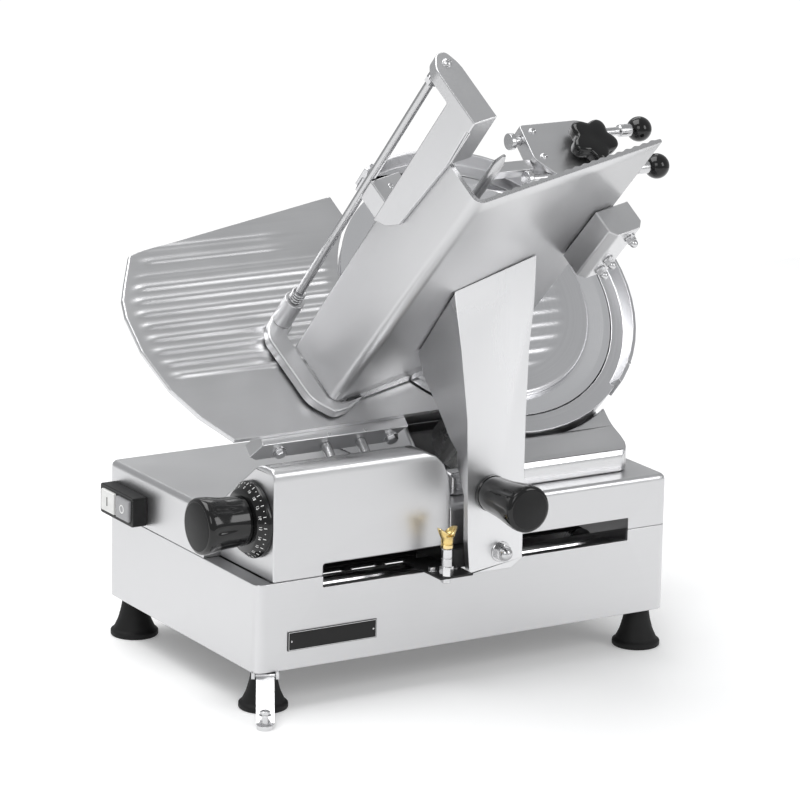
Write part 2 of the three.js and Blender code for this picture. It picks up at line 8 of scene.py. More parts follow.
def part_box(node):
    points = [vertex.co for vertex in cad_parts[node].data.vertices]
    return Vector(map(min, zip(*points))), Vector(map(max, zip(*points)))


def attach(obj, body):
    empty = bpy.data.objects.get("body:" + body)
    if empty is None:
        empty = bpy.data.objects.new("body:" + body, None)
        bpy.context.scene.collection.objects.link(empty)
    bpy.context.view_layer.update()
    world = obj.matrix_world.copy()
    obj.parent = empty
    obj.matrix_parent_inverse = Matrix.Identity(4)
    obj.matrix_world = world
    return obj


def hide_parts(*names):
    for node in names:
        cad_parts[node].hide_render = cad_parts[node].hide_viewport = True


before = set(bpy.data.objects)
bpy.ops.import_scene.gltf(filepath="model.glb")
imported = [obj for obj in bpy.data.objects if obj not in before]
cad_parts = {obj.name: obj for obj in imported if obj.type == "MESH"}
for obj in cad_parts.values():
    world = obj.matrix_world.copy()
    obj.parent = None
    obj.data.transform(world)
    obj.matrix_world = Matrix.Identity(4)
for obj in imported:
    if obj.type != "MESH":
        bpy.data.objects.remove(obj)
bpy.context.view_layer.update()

# ---- working frames: casing, blade disc, food tray and dial, all drawn in millimetres ----
rad = math.radians
corner = Vector(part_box("top_cover")[0]) - Vector((0, 0, 0.099))
CASING = Matrix.Translation(corner) @ Matrix.Scale(0.001, 4)
DISC = CASING @ Matrix.Translation((396.5, 203.3, 335.4)) @ Matrix.Rotation(rad(43.55), 4, "X")
TROUGH = DISC @ Matrix.Rotation(rad(12.2), 4, "Z")
DIAL = CASING @ Matrix.Translation((20, 43, 160)) @ Matrix.Rotation(rad(-90), 4, "Y")
LOCK = CASING @ Matrix.Translation((276, 0, 173)) @ Matrix.Rotation(rad(90), 4, "X")
NUT = CASING @ Matrix.Translation((290, 0, 105)) @ Matrix.Rotation(rad(90), 4, "X")
SLOPE = 0.0352


# ---- shader writing ----
class Wire:
    """A value in a material that can be used in plain arithmetic."""

    def __init__(self, paint, socket):
        self.paint, self.socket = paint, socket

    def calc(self, how, a, b=0.0):
        return self.paint.add("ShaderNodeMath", {"operation": how}, {0: a, 1: b})

    def __add__(self, other):
        return self.calc("ADD", self, other)

    def __radd__(self, other):
        return self.calc("ADD", other, self)

    def __sub__(self, other):
        return self.calc("SUBTRACT", self, other)

    def __rsub__(self, other):
        return self.calc("SUBTRACT", other, self)

    def __mul__(self, other):
        return self.calc("MULTIPLY", self, other)

    def __rmul__(self, other):
        return self.calc("MULTIPLY", other, self)

    def __pow__(self, other):
        return self.calc("POWER", self, other)


class Paint:
    """One material while its nodes are being laid."""

    def __init__(self, name):
        self.material = bpy.data.materials.new(name)
        self.material.use_nodes = True
        self.tree = self.material.node_tree
        self.tree.nodes.clear()

    def add(self, kind, settings=None, values=None, out=0):
        node = self.tree.nodes.new(kind)
        for key, value in (settings or {}).items():
            setattr(node, key, value)
        for key, value in (values or {}).items():
            if isinstance(value, Wire):
                self.tree.links.new(value.socket, node.inputs[key])
            else:
                node.inputs[key].default_value = value
        return Wire(self, node.outputs[out]) if len(node.outputs) else None

    def place(self, frame_of=None):
        """Object coordinates in metres, turned into a working frame where one is given."""
        here = self.add("ShaderNodeTexCoord", out=3)
        if frame_of is None:
            return here
        turn = frame_of.to_quaternion().to_matrix().transposed()
        shift = -(turn @ frame_of.translation)
        return self.add("ShaderNodeMapping", None, {
            "Vector": here, "Location": tuple(shift), "Rotation": tuple(turn.to_euler("XYZ"))})

    def stretch(self, where, scale):
        return self.add("ShaderNodeMapping", None, {"Vector": where, "Scale": scale})

    def noise(self, where, scale, detail=3.0, rough=0.55):
        return self.add("ShaderNodeTexNoise", None, {
            "Vector": where, "Scale": scale, "Detail": detail, "Roughness": rough})

    def step(self, value, low, high, to_low=0.0, to_high=1.0):
        return self.add("ShaderNodeMapRange", {"interpolation_type": "SMOOTHSTEP"}, {
            "Value": value, "From Min": low, "From Max": high, "To Min": to_low, "To Max": to_high})

    def mix(self, share, a, b):
        return self.add("ShaderNodeMix", {"data_type": "RGBA"}, {0: share, 6: a, 7: b}, out=2)

    def bump(self, height, strength, distance):
        return self.add("ShaderNodeBump", None, {
            "Height": height, "Strength": strength, "Distance": distance})

    def edges(self, low=0.51, high=0.6):
        worn = self.add("ShaderNodeNewGeometry", out=7)
        return self.step(worn, low, high)

    def done(self, **values):
        names = {key.replace("_", " "): value for key, value in values.items()}
        shader = self.add("ShaderNodeBsdfPrincipled", None, names)
        self.add("ShaderNodeOutputMaterial", None, {"Surface": shader})
        return self.material


def grey(tone, tint=0.0):
    return (tone, tone, tone * (1 + tint), 1)


def brushed(name, tone, rough, grain, frame_of=None, lines=0.1, wear=0.1, tint=0.012, spots=0.05):
    """Satin metal: fine grain lines, slow mottling from casting or rolling, and rubbed edges."""
    p = Paint(name)
    where = p.place(frame_of)
    grain_lines = p.noise(p.stretch(where, grain), 1.0, 4.0, 0.6)
    cloud = p.noise(where, 14.0, 2.0)
    speck = p.noise(where, 620.0, 2.0)
    rubbed = p.edges()
    base = p.mix(cloud * 0.6 + grain_lines * 0.4, grey(tone * (1 - spots), tint),
        grey(tone * (1 + spots), tint))
    base = p.mix(rubbed * wear, base, grey(0.93, tint))
    dull = rough + (grain_lines - 0.5) * lines + (cloud - 0.5) * 0.1 - rubbed * (rough * 0.3)
    relief = p.bump(grain_lines + speck * 0.5, 0.12, 0.00012)
    return p.done(Base_Color=base, Metallic=1.0, Roughness=dull, Normal=relief)


def ground(name, tone, rough, frame_of, rings=900.0, tint=0.02):
    """Metal turned or ground on its axis, with rings round the middle of its own frame."""
    p = Paint(name)
    where = p.place(frame_of)
    flat = p.add("ShaderNodeVectorMath", {"operation": "MULTIPLY"}, {0: where, 1: (1, 1, 0)})
    reach = p.add("ShaderNodeVectorMath", {"operation": "LENGTH"}, {0: flat}, out=1)
    ring = p.add("ShaderNodeTexNoise", {"noise_dimensions": "1D"}, {
        "W": reach * rings, "Scale": 1.0, "Detail": 4.0, "Roughness": 0.65})
    cloud = p.noise(where, 11.0, 2.0)
    fleck = p.noise(where, 240.0, 3.0)
    base = p.mix(ring * 0.7 + cloud * 0.3, grey(tone * 0.92, tint), grey(min(0.96, tone * 1.06), tint))
    dull = rough + (ring - 0.5) * 0.12 + (fleck - 0.5) * 0.05
    return p.done(Base_Color=base, Metallic=1.0, Roughness=dull, Normal=p.bump(ring, 0.14, 0.0001))


def moulded(name, tone, rough, grain=500.0, depth=0.05, coat=0.0, tint=0.02, wear=0.35, smear=0.12):
    """Plastic, rubber or paint: fine surface texture, handling marks and paler rubbed edges."""
    p = Paint(name)
    where = p.place()
    fine = p.noise(where, grain, 2.0)
    marks = p.noise(p.stretch(where, (1.0, 1.0, 2.2)), 26.0, 4.0, 0.65)
    rubbed = p.edges(0.52, 0.64)
    base = p.mix(marks, grey(tone * 0.85, tint), grey(tone * 1.2, tint))
    base = p.mix(rubbed * wear, base, grey(min(0.9, tone * 1.7 + 0.015), tint))
    dull = rough + (marks - 0.5) * smear + (fine - 0.5) * 0.06
    return p.done(Base_Color=base, Roughness=dull, Coat_Weight=coat, Coat_Roughness=0.08,
        Specular_IOR_Level=0.28,
                  Normal=p.bump(fine, depth * 4, 0.00015))


cast_flat = brushed("casting_along", 0.62, 0.36, (9, 420, 420), CASING)
cast_disc = brushed("casting_on_disc", 0.64, 0.37, (9, 420, 420), DISC)
cast_arm = brushed("casting_upright", 0.74, 0.35, (420, 420, 9), CASING)
cast_tray = brushed("casting_on_tray", 0.66, 0.36, (420, 420, 9), TROUGH)
sheet_gauge = brushed("sheet_gauge_plate", 0.64, 0.33, (7, 520, 520), DISC, lines=0.12)
sheet_tray = brushed("sheet_tray", 0.6, 0.36, (520, 520, 7), TROUGH, lines=0.12)
turned_ring = ground("turned_ring_guard", 0.64, 0.36, DISC, 420.0)
turned_cover = ground("turned_blade_cover", 0.68, 0.33, DISC, 300.0)
blade_edge = ground("ground_blade", 0.83, 0.2, DISC, 1100.0)
rod_steel = brushed("bright_rod", 0.5, 0.28, (700, 700, 20), TROUGH, lines=0.08, wear=0.2)
steel_bits = brushed("bright_small_steel", 0.6, 0.26, (300, 300, 300), CASING, lines=0.1, wear=0.3)
black_parts = moulded("black_oxide_steel", 0.014, 0.42, 700.0, 0.05)
motor_grey = moulded("motor_enamel", 0.12, 0.5, 380.0, 0.12)
phenolic = moulded("black_phenolic_gloss", 0.005, 0.13, 900.0, 0.008, coat=0.35, wear=0.1, smear=0.05)
knob_face = moulded("black_phenolic_matt", 0.01, 0.5, 800.0, 0.05, wear=0.1)
rubber = moulded("foot_rubber_black", 0.009, 0.62, 520.0, 0.12, wear=0.3)
belting = moulded("belt_rubber_black", 0.028, 0.75, 420.0, 0.2)
plastic = moulded("switch_black_plastic", 0.009, 0.4, 640.0, 0.1)
white_key = moulded("switch_white_key", 0.78, 0.35, 500.0, 0.02, tint=-0.02, wear=0.1)
grey_key = moulded("switch_grey_key", 0.3, 0.25, 500.0, 0.02, coat=0.4, tint=0.03, wear=0.2)
ink = moulded("white_marking_ink", 0.82, 0.55, 900.0, 0.03, tint=-0.01, wear=0.0)
plate_paint = moulded("plate_satin_black", 0.006, 0.36, 500.0, 0.02, wear=0.3)


def brass_finish():
    p = Paint("plunger_brass")
    where = p.place()
    cloud = p.noise(where, 70.0, 4.0)
    fine = p.noise(where, 900.0, 3.0)
    base = p.mix(cloud, (0.62, 0.44, 0.15, 1), (0.88, 0.68, 0.3, 1))
    base = p.mix(p.edges() * 0.5, base, (0.95, 0.85, 0.6, 1))
    return p.done(Base_Color=base, Metallic=1.0, Roughness=0.2 + (cloud - 0.5) * 0.2 + (fine - 0.5) * 0.1,
                  Normal=p.bump(fine, 0.15, 0.0001))


brass = brass_finish()


# ---- mesh writing, in millimetres ----
def to_mesh(bm, merge=True):
    if merge:
        bmesh.ops.remove_doubles(bm, verts=bm.verts, dist=1e-3)
        bmesh.ops.recalc_face_normals(bm, faces=bm.faces)
    mesh = bpy.data.meshes.new("shape")
    bm.to_mesh(mesh)
    bm.free()
    mesh.polygons.foreach_set("use_smooth", [True] * len(mesh.polygons))
    return mesh


def shaded(mesh, crease=34):
    mesh.polygons.foreach_set("use_smooth", [True] * len(mesh.polygons))
    mesh.set_sharp_from_angle(angle=rad(crease))
    return mesh


def settled(mesh, *steps):
    """Runs modifiers over a mesh and gives back the plain result."""
    bench = bpy.data.objects.new("bench", mesh)
    bpy.context.collection.objects.link(bench)
    for kind, settings in steps:
        modifier = bench.modifiers.new(kind.lower(), kind)
        for key, value in settings.items():
            setattr(modifier, key, value)
    deps = bpy.context.evaluated_depsgraph_get()
    result = bpy.data.meshes.new_from_object(bench.evaluated_get(deps), depsgraph=deps)
    bpy.data.objects.remove(bench)
    return result


def eased(mesh, width, segments=3, angle=32, clamp=True):
    """Bevels the corners of a mesh and keeps its flat faces shading flat."""
    mesh = settled(mesh, ("BEVEL", {
        "width": width, "segments": segments, "limit_method": "ANGLE", "angle_limit": rad(angle),
        "use_clamp_overlap": clamp, "miter_outer": "MITER_ARC"}))
    mesh.set_sharp_from_angle(angle=rad(44))
    return settled(mesh, ("WEIGHTED_NORMAL", {"keep_sharp": True, "weight": 60}))


def softened(node, width=0.8, segments=3, angle=32, rounds=(), clamp=False):
    """A merged copy of a CAD node with its edges eased; rounds are (test, radius) for larger ones."""
    bm = bmesh.new()
    bm.from_mesh(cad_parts[node].data)
    bm.transform(CASING.inverted())
    bmesh.ops.remove_doubles(bm, verts=bm.verts, dist=0.03)
    bmesh.ops.dissolve_degenerate(bm, edges=bm.edges, dist=0.03)
    bmesh.ops.dissolve_limit(bm, angle_limit=rad(1.0), verts=bm.verts, edges=bm.edges)
    for test, radius in rounds:
        chosen = [e for e in bm.edges if len(e.link_faces) == 2 and e.calc_face_angle(0) > rad(35)
                  and test((e.verts[0].co + e.verts[1].co) / 2, e.verts[0].co - e.verts[1].co)]
        bmesh.ops.bevel(bm, geom=chosen, offset=radius, segments=7, profile=0.5,
                        affect="EDGES", clamp_overlap=True)
    return eased(to_mesh(bm, False), width, segments, angle, clamp)


def turned(profile, steps=72, shape=None, bm=None):
    """A body turned about Z from (radius, height) pairs; shape(angle, radius, height) may push them."""
    bm = bm or bmesh.new()
    rings = []
    for r, z in profile:
        if r < 1e-6:
            rings.append([bm.verts.new((0, 0, z))])
            continue
        ring = []
        for k in range(steps):
            a = 2 * math.pi * k / steps
            q, h = shape(a, r, z) if shape else (r, z)
            ring.append(bm.verts.new((q * math.cos(a), q * math.sin(a), h)))
        rings.append(ring)
    for low, high in zip(rings, rings[1:]):
        for k in range(steps):
            n = (k + 1) % steps
            face = [low[k % len(low)], low[n % len(low)], high[n % len(high)], high[k % len(high)]]
            face = list(dict.fromkeys(face))
            if len(face) > 2:
                bm.faces.new(face)
    return bm


def arcs(points, radii, steps=4):
    """A line through the points with the corners listed in radii (index: radius) rounded."""
    path = []
    for i, p in enumerate(points):
        r = radii.get(i, 0)
        if not r:
            path.append(tuple(p))
            continue
        here, before, after = Vector(p), Vector(points[i - 1]), Vector(points[(i + 1) % len(points)])
        start = here + (before - here).normalized() * r
        stop = here + (after - here).normalized() * r
        for k in range(steps + 1):
            t = k / steps
            path.append(tuple(start.lerp(here, t).lerp(here.lerp(stop, t), t)))
    return path


def prism(points, z0, z1, bm=None):
    bm = bm or bmesh.new()
    low = [bm.verts.new((x, y, z0)) for x, y in points]
    high = [bm.verts.new((x, y, z1)) for x, y in points]
    bm.faces.new(list(reversed(low)))
    bm.faces.new(high)
    for k in range(len(points)):
        n = (k + 1) % len(points)
        bm.faces.new((low[k], low[n], high[n], high[k]))
    return bm


def block(x0, x1, y0, y1, z0, z1, bm=None):
    return prism([(x0, y0), (x1, y0), (x1, y1), (x0, y1)], z0, z1, bm)


def joined(*meshes):
    """Several meshes, or (mesh, matrix) pairs, as one."""
    bm = bmesh.new()
    for item in meshes:
        mesh, matrix = item if isinstance(item, tuple) else (item, Matrix())
        part = mesh.copy()
        part.transform(matrix)
        bm.from_mesh(part)
        bpy.data.meshes.remove(part)
    mesh = bpy.data.meshes.new("shape")
    bm.to_mesh(mesh)
    bm.free()
    mesh.polygons.foreach_set("use_smooth", [True] * len(mesh.polygons))
    return mesh


def piece(name, mesh, place, body, finish, nodes=()):
    """Puts a finished mesh in its place and hands it to the body that carries it."""
    mesh.transform(place)
    mesh.name = name
    mesh.materials.clear()
    mesh.materials.append(finish)
    obj = bpy.data.objects.new(name, mesh)
    bpy.context.collection.objects.link(obj)
    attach(obj, body)
    if nodes:
        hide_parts(*nodes)
    return obj


def eased_node(name, node, body, finish, width, segments=3):
    """A piece that is its CAD node with the edges eased."""
    return piece(name, softened(node, width, segments), CASING, body, finish, [node])


def smoothstep(low, high, value):
    t = min(1.0, max(0.0, (value - low) / (high - low)))
    return t * t * (3 - 2 * t)


def hexed(a, across):
    """Radius of a hexagon of that size across its flats."""
    return across / 2 / math.cos((a + rad(30)) % rad(60) - rad(30))


# ---- repeated shapes, by geometry nodes ----
class Tree:
    """A geometry node tree with named inputs."""

    def __init__(self, name, inputs):
        self.tree = bpy.data.node_groups.new(name, "GeometryNodeTree")
        face = self.tree.interface
        face.new_socket("Geometry", in_out="OUTPUT", socket_type="NodeSocketGeometry")
        self.keys = {}
        for label, kind in inputs.items():
            socket = face.new_socket(label, in_out="INPUT", socket_type="NodeSocket" + kind)
            self.keys[label] = socket.identifier
        self.ins = self.tree.nodes.new("NodeGroupInput")

    def __getitem__(self, label):
        return self.ins.outputs[label]

    def add(self, kind, settings=None, values=None, out=0):
        node = self.tree.nodes.new(kind)
        for key, value in (settings or {}).items():
            setattr(node, key, value)
        for key, value in (values or {}).items():
            if isinstance(value, bpy.types.NodeSocket):
                self.tree.links.new(value, node.inputs[key])
            else:
                node.inputs[key].default_value = value
        live = [o for o in node.outputs if o.enabled]
        return live[out] if live else None

    def calc(self, how, a, b=0.0):
        return self.add("ShaderNodeMath", {"operation": how}, {0: a, 1: b})

    def close(self, shape):
        real = self.add("GeometryNodeRealizeInstances", None, {0: shape})
        dressed = self.add("GeometryNodeSetMaterial", None, {"Geometry": real, "Material": self["Finish"]})
        end = self.tree.nodes.new("NodeGroupOutput")
        self.tree.links.new(dressed, end.inputs[0])
        return self

    def run(self, mesh, values):
        bench = bpy.data.objects.new("bench", mesh)
        bpy.context.collection.objects.link(bench)
        modifier = bench.modifiers.new("nodes", "NODES")
        modifier.node_group = self.tree
        for label, value in values.items():
            modifier[self.keys[label]] = value
        deps = bpy.context.evaluated_depsgraph_get()
        result = bpy.data.meshes.new_from_object(bench.evaluated_get(deps), depsgraph=deps)
        bpy.data.objects.remove(bench)
        return result


def fastener_tree():
    """One head shape set at every vertex, along that vertex's aim and at its size."""
    t = Tree("fastener_row", {"Spots": "Geometry", "Head": "Object", "Scale": "Float",
        "Finish": "Material"})
    aim = t.add("GeometryNodeInputNamedAttribute", {"data_type": "FLOAT_VECTOR"}, {"Name": "aim"})
    size = t.add("GeometryNodeInputNamedAttribute", {"data_type": "FLOAT"}, {"Name": "size"})
    turn = t.add("FunctionNodeAlignRotationToVector", {"axis": "Z"}, {"Vector": aim})
    head = t.add("GeometryNodeObjectInfo", None, {"Object": t["Head"]}, out=-1)
    grown = t.calc("MULTIPLY", size, t["Scale"])
    rows = t.add("GeometryNodeInstanceOnPoints", None, {
        "Points": t["Spots"], "Instance": head, "Rotation": turn, "Scale": grown})
    return t.close(rows)


def dial_tree():
    """Marks round a cone: long ones and short ones by turns."""
    t = Tree("dial_marks", {
        "Base": "Geometry", "Count": "Int", "Radius": "Float", "Height": "Float", "Lean": "Float",
        "Length": "Float", "Width": "Float", "Short": "Float", "Finish": "Material"})
    spots = t.add("GeometryNodePoints", None, {"Count": t["Count"]})
    index = t.add("GeometryNodeInputIndex")
    angle = t.calc("MULTIPLY", t.calc("DIVIDE", index, t["Count"]), 2 * math.pi)
    x = t.calc("MULTIPLY", t.calc("COSINE", angle), t["Radius"])
    y = t.calc("MULTIPLY", t.calc("SINE", angle), t["Radius"])
    at = t.add("ShaderNodeCombineXYZ", None, {"X": x, "Y": y, "Z": t["Height"]})
    placed = t.add("GeometryNodeSetPosition", None, {"Geometry": spots, "Position": at})
    turn = t.add("ShaderNodeCombineXYZ", None, {"X": 0.0, "Y": t["Lean"], "Z": angle})
    euler = t.add("FunctionNodeEulerToRotation", None, {0: turn})
    odd = t.calc("MODULO", index, 2.0)
    long = t.calc("SUBTRACT", 1.0, t.calc("MULTIPLY", odd, t["Short"]))
    size = t.add("ShaderNodeCombineXYZ", None,
        {"X": t.calc("MULTIPLY", t["Length"], long), "Y": t["Width"], "Z": 0.3})
    mark = t.add("GeometryNodeMeshCube", None, {"Size": (1, 1, 1)})
    rows = t.add("GeometryNodeInstanceOnPoints", None, {
        "Points": placed, "Instance": mark, "Rotation": euler, "Scale": size})
    return t.close(rows)


def spring_tree():
    t = Tree("coil_spring", {
        "Base": "Geometry", "Turns": "Float", "Coil": "Float", "Wire": "Float", "Rise": "Float",
        "Finish": "Material"})
    path = t.add("GeometryNodeCurveSpiral", None, {
        "Resolution": 40, "Rotations": t["Turns"], "Start Radius": t["Coil"], "End Radius": t["Coil"],
        "Height": t["Rise"]})
    ring = t.add("GeometryNodeCurvePrimitiveCircle", None, {"Resolution": 14, "Radius": t["Wire"]})
    wire = t.add("GeometryNodeCurveToMesh", None, {"Curve": path, "Profile Curve": ring, "Fill Caps": True})
    return t.close(wire)


fastener_rows = fastener_tree()


def fasteners(name, head, spots, place, body, finish=None):
    """Sets a head shape, drawn in millimetres along Z, at (position, direction, size) spots."""
    pattern = bpy.data.objects.new("head", head)
    bpy.context.collection.objects.link(pattern)
    mesh = bpy.data.meshes.new("spots")
    mesh.from_pydata([tuple(place @ Vector(at)) for at, _, _ in spots], [], [])
    mesh.attributes.new("aim", "FLOAT_VECTOR", "POINT")
    mesh.attributes.new("size", "FLOAT", "POINT")
    for i, (_, along, grown) in enumerate(spots):
        mesh.attributes["aim"].data[i].vector = (place.to_3x3() @ Vector(along)).normalized()
        mesh.attributes["size"].data[i].value = grown
    made = fastener_rows.run(mesh, {"Head": pattern, "Scale": 0.001, "Finish": finish or steel_bits})
    bpy.data.objects.remove(pattern)
    return piece(name, shaded(made, 30), Matrix(), body, finish or steel_bits)


def socket_screw():
    def socket(a, r, z):
        return (hexed(a, 4.2), z) if r == 2.1 else (r, z)
    return to_mesh(turned([
        (0, 1.4), (2.1, 1.4), (2.1, 4), (3.5, 4), (3.9, 3.6), (4, 3.2), (4, 0), (0, 0)], 30, socket))


def set_screw():
    def socket(a, r, z):
        return (hexed(a, 3.4), z) if r == 1.7 else (r, z)
    return to_mesh(turned([
        (0, -1.6), (1.7, -1.6), (1.7, 0.5), (2.6, 0.5), (3.0, 0.2), (3.0, -0.6), (0, -2.4)], 30, socket))


def hex_bolt():
    def head(a, r, z):
        return (hexed(a, 11), z) if r == 5.5 else (r, z)
    return to_mesh(turned([
        (0, 5.9), (4.9, 5.9), (5.5, 5.2), (5.5, 1.3), (6.1, 1.3), (7.2, 1.2), (7.4, 0.9), (7.4, 0), (0, 0)],
        36, head))


def acorn_nut():
    def nut(a, r, z):
        return (hexed(a, 10), z) if r == 5.0 else (r, z)
    dome = [(4.6 * math.sin(rad(k)), 7.5 + 5.2 * math.cos(rad(k))) for k in (0, 20, 40, 60, 78, 90)]
    return to_mesh(turned(dome + [
        (4.6, 6.2), (5.0, 5.8), (5.0, 1.4), (6.4, 1.4), (6.6, 1.1), (6.6, 0), (0, 0)], 36, nut))


def dome_screw():
    def slot_cut(a, r, z):
        return (r, z - (0.9 if abs(math.sin(a)) * r < 0.75 and z > 1.4 else 0))
    dome = [(4.2 * math.sin(rad(k)), 0.4 + 2.6 * math.cos(rad(k))) for k in (2, 15, 30, 45, 60, 75, 90)]
    return to_mesh(turned([(0, 2.1)] + dome + [(4.2, 0), (0, 0)], 36, slot_cut))


# ---- casing ----
eased_node("pan_casting", "base_pan", "base", cast_flat, 0.9)
eased_node("cover_casting", "top_cover", "base", cast_flat, 1.0)
eased_node("drum_casting", "drum_housing", "base", cast_flat, 2.2, 4)
eased_node("pedestal_casting", "blade_pedestal", "base", cast_flat, 2.6, 4)

FOOT_SPOTS = {"front_left": (22, 22), "front_right": (505, 22), "back_left": (22, 318),
    "back_right": (505, 318)}
foot_side = arcs([
    (0, -45), (26, -45), (27, -43.5), (27, -39), (23.5, -36.5), (18.6, -26), (15.4, -14), (14, -6),
        (14, -0.3), (0, -0.3)],
    {1: 0.8, 3: 1.2, 4: 1.2, 5: 3, 6: 3, 7: 2, 8: 0.3})
for spot, (x, y) in FOOT_SPOTS.items():
    piece("rubber_foot_" + spot, shaded(to_mesh(turned(foot_side, 56))),
        CASING @ Matrix.Translation((x, y, 0)),
          "base", rubber, ["foot_" + spot])

plate = joined(
    eased(to_mesh(block(38.5, 149, -1.3, -0.3, 21, 42.3)), 0.3, 2),
    eased(to_mesh(block(40.2, 147.3, -1.7, -1.2, 22.7, 40.6)), 0.2, 2))
piece("front_plate", plate, CASING, "base", plate_paint, ["name_plate"])
trim = bmesh.new()
for x0, x1, z0, z1 in ((39.3, 148.2, 41.2, 41.7), (39.3, 148.2, 21.6, 22.1), (39.3, 39.8, 22.1, 41.2),
    (147.7, 148.2, 22.1, 41.2)):
    block(x0, x1, -1.5, -1.2, z0, z1, trim)
piece("front_plate_trim", shaded(to_mesh(trim, False)), CASING, "base", steel_bits)

fasteners("plate_rivets", dome_screw(), [
    ((43, -1.6, 31.6), (0, -1, 0), 0.28), ((144.5, -1.6, 31.6), (0, -1, 0), 0.28)], CASING, "base")
fasteners("bottom_screws", socket_screw(), [
    ((x, y, 1.1), (0, 0, -1), 0.9) for x, y in ((140, 16), (264, 16), (388, 16), (140, 324), (264, 324),
        (388, 324))],
    CASING, "base")
fasteners("pedestal_screws", dome_screw(), [
    ((x, 320, z), (0, 1, 0), 1.2) for x in (272, 478) for z in (176, 300)], CASING, "base")

# ---- switch and power inlet ----
eased_node("switch_body", "switch_box", "base", plastic, 0.9)
for node, finish, slot_name in (("start_button", white_key, "button_white"),
    ("stop_button", grey_key, "button_grey")):
    piece(node + "_key", softened(node, 1.6, 4), CASING, node, finish, [node])


def middle(node):
    low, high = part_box(node)
    return CASING.inverted() @ ((Vector(low) + Vector(high)) / 2)


on, off = middle("start_button"), middle("stop_button")
piece("start_mark", eased(to_mesh(block(-21.25, -20.8, on.y - 0.9, on.y + 0.9, on.z - 5, on.z + 5)), 0.15,
    2), CASING,
      "start_button", plate_paint)
ring_side = [(3.6, 0.2), (5.0, 0.2), (5.0, 0.45), (3.6, 0.45), (3.6, 0.2)]
piece("stop_mark", shaded(to_mesh(turned(ring_side, 40))),
      CASING @ Matrix.Translation((-20.8, off.y, off.z)) @ Matrix.Rotation(rad(-90), 4, "Y"),
      "stop_button", ink)
eased_node("inlet_shell", "power_inlet", "base", plastic, 0.8)
pins = bmesh.new()
for x, z in ((78, 44), (84, 49), (90, 44)):
    block(x - 1, x + 1, 341.4, 345, z - 2.4, z + 2.4, pins)
piece("inlet_pins", eased(to_mesh(pins), 0.4, 2), CASING, "base", steel_bits)

# ---- thickness dial ----
FLUTES = 8


def fluted(low, high, depth):
    def shape(a, r, z):
        along = smoothstep(low, high - 6, z) * (1 - smoothstep(high - 2.5, high, z))
        groove = max(0.0, math.cos(FLUTES * a)) ** 3
        return r - depth * along * groove, z
    return shape


def knob_mesh(small, waist, big, z0, z1, depth, back=()):
    """A flared hand knob with tapering flutes, a polished rim and a rounded edge at its face."""
    side = [(0, z0)] + list(back) + [(small, z0 + 0.8)]
    for k in range(1, 15):
        t = k / 14
        side.append((small + (waist - small) * t + (big - waist) * smoothstep(0.45, 1, t),
            z0 + 0.8 + (z1 - 9 - z0) * t))
    side += [(big, z1 - 5), (big - 0.4, z1 - 3), (big - 1.3, z1 - 1.2), (big - 2.8, z1 - 0.3),
        (big - 4.2, z1), (0, z1)]
    return to_mesh(turned(side, 144, fluted(z0 + 4, z1 - 8, depth)))


piece("dial_knob_grip", shaded(knob_mesh(27, 28.6, 31, 15.3, 69.6, 1.7), 50), DIAL, "dial", phenolic,
      ["dial_knob"])
piece("dial_knob_face", shaded(to_mesh(turned([(0, 69.2), (26.4, 69.2), (26.6, 69.8), (26.2, 70),
    (0, 70)], 96))),
      DIAL, "dial", knob_face)
collar_side = arcs([
    (6.3, 0.3), (41.4, 0.3), (42, 1.0), (42, 5.2), (41.3, 6.2), (34.3, 14.4), (32.8, 15), (6.3, 15),
        (6.3, 0.3)],
    {2: 0.5, 3: 0.9, 4: 0.8, 5: 1.0})
piece("dial_collar_ring", shaded(to_mesh(turned(collar_side, 120)), 26), DIAL, "dial", phenolic,
      ["dial_collar"])
lean = math.atan2(14.4 - 6.2, 41.3 - 34.3)
marks = dial_tree().run(bpy.data.meshes.new("none"), {
    "Count": 40, "Radius": 39.75, "Height": 8.15, "Lean": lean, "Length": 3.4, "Width": 0.75, "Short": 0.62,
    "Finish": ink})
piece("dial_marks", shaded(marks, 20), DIAL, "dial", ink)
numerals = []
for k in range(20):
    curve = bpy.data.curves.new("numeral", "FONT")
    curve.body, curve.size, curve.extrude = str(k), 4.6, 0.12
    curve.align_x = curve.align_y = "CENTER"
    text = bpy.data.objects.new("numeral", curve)
    bpy.context.collection.objects.link(text)
    deps = bpy.context.evaluated_depsgraph_get()
    flat = bpy.data.meshes.new_from_object(text.evaluated_get(deps), depsgraph=deps)
    bpy.data.objects.remove(text)
    a = rad(18 * k)
    up = Vector((-math.cos(lean) * math.cos(a), -math.cos(lean) * math.sin(a), math.sin(lean)))
    side = Vector((-math.sin(a), math.cos(a), 0)) * -1
    face = side.cross(up)
    at = Vector((36.3 * math.cos(a), 36.3 * math.sin(a), 12.1)) + face * 0.02
    turn = Matrix((side, up, face)).transposed().to_4x4()
    numerals.append((flat, Matrix.Translation(at) @ turn))
piece("dial_numerals", shaded(joined(*numerals), 20), DIAL, "dial", ink)
piece("dial_pointer", eased(to_mesh(prism([(-1.1, 43.2), (1.1, 43.2), (0, 47.5)], 0.05, 0.5)), 0.1, 2),
    DIAL, "base", plate_paint)

# ---- gauge plate ----
PLATE_LEFT = [(-130.5, 149.4), (-397, 102), (-406, 99), (-424, 66), (-435, 44), (-439, 21), (-437, -24),
    (-422, -76),
              (-400, -114), (-371, -148)]
PLATE_RIGHT = [(-130.5, 149.4)] + [
    (168 * math.cos(rad(137 + k * 101 / 28)),
        168 * math.sin(rad(137 + k * 101 / 28))) for k in range(29)] + [
    (-88, -143), (-371, -148)]


